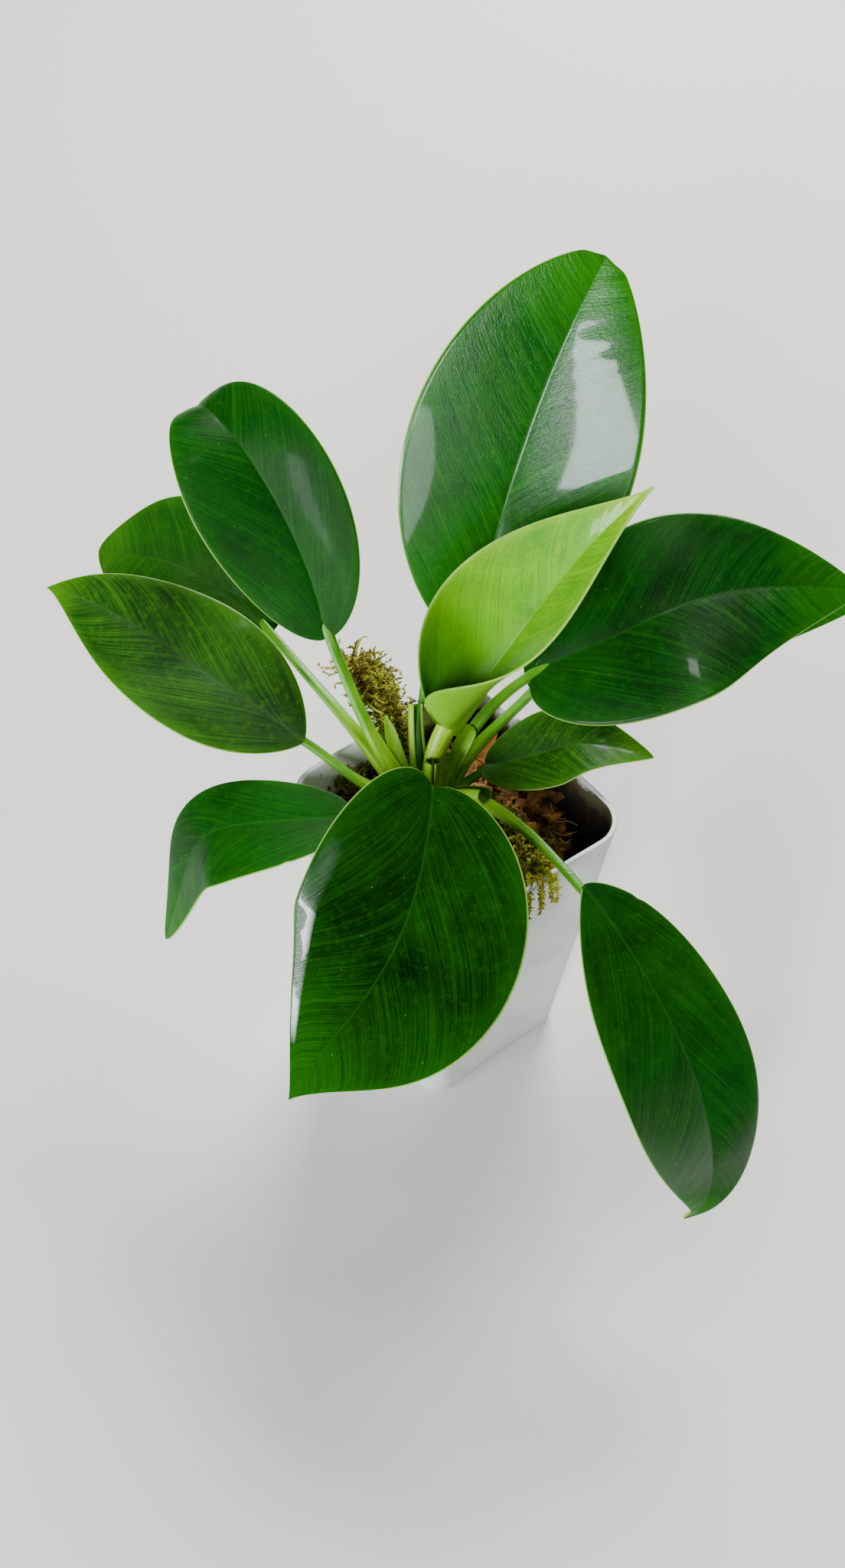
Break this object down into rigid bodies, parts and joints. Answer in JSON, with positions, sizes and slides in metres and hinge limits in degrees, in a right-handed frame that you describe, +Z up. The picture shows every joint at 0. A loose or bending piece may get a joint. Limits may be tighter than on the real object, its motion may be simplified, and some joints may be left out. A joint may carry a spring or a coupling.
{
  "type": "potted philodendron",
  "caption": "Young philodendron with broad glossy leaves on slender stalks, growing in bark and moss in a tapered square nursery pot with rounded corners.",
  "frame": {"origin": "middle of the pot's underside", "axes": "+Z up; -Y towards the viewer of the picture; +X to that viewer's right"},
  "size_m": [0.2717, 0.2109, 0.2547],
  "materials": {
    "pot": "satin white, thin wall",
    "root_ball": "rough coco chips and bark",
    "moss": "dull, fibrous",
    "stalks": "smooth, slightly glossy",
    "leaf_dark": "glossy dark green with fine veins",
    "leaf_mid": "glossy mottled green with fine veins",
    "leaf_lime": "satin lime green with fine veins"
  },
  "bodies": {
    "root": {"pot": "pot", "root_ball": "root_ball", "moss_back": "moss", "moss_front": "moss", "moss_left": "moss", "crown_and_stalks": "stalks", "leaf_back_tall": "leaf_dark", "leaf_young_funnel": "leaf_lime", "leaf_right_large": "leaf_dark", "leaf_right_hidden": "leaf_dark", "leaf_right_small": "leaf_mid", "leaf_front_drooping": "leaf_dark", "leaf_front_broad": "leaf_dark", "leaf_front_curled": "leaf_dark", "leaf_left_mottled": "leaf_mid", "leaf_upper_left": "leaf_dark", "leaf_left_behind": "leaf_mid"}
  },
  "joints": []
}
